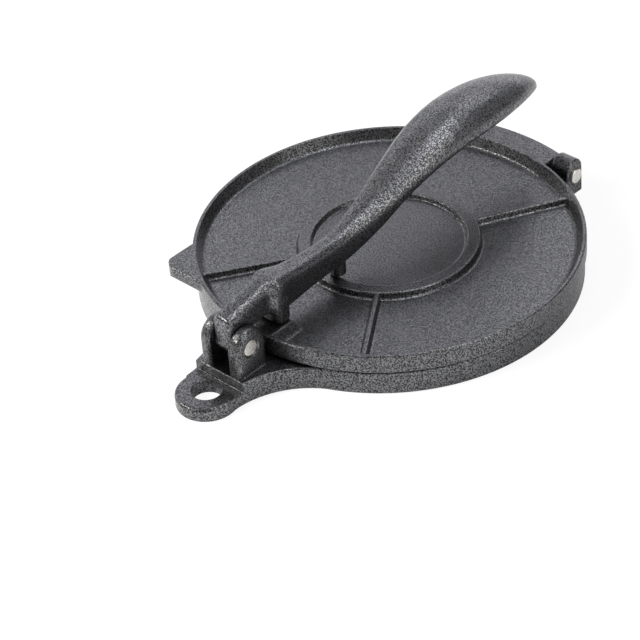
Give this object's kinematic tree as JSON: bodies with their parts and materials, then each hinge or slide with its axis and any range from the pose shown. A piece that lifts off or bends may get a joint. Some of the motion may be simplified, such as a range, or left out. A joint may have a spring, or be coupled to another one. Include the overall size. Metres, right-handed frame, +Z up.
{
  "type": "tortilla press",
  "caption": "Round cast tortilla press with a hinged ribbed top plate, a long curved cam lever between two ears and a hanging hole in the base.",
  "frame": {"origin": "centre of the base plate on the table plane", "axes": "+Z up, +Y from the lever pin towards the rear hinge, +X along both pins"},
  "size_m": [0.2, 0.2657, 0.0766],
  "materials": {
    "hammertone": "satin",
    "pin_steel": "satin"
  },
  "bodies": {
    "base": {"base_plate": "hammertone", "lever_pin": "pin_steel", "hinge_pin": "pin_steel"},
    "plate": {"top_plate": "hammertone"},
    "handle": {"lever": "hammertone"}
  },
  "joints": [
    {"name": "lever_swing", "type": "hinge", "parent": "base", "child": "handle", "pos_m": [0, -0.1132, 0.0268], "axis": [1, 0, 0], "range_deg": [0, 120]},
    {"name": "plate_hinge", "type": "hinge", "parent": "base", "child": "plate", "pos_m": [0, 0.1059, 0.0174], "axis": [-1, 0, 0], "range_deg": [0, 110]}
  ],
  "couplings": [
    {"joint": "plate_hinge", "follows": "lever_swing", "ratio": 0.1}
  ]
}
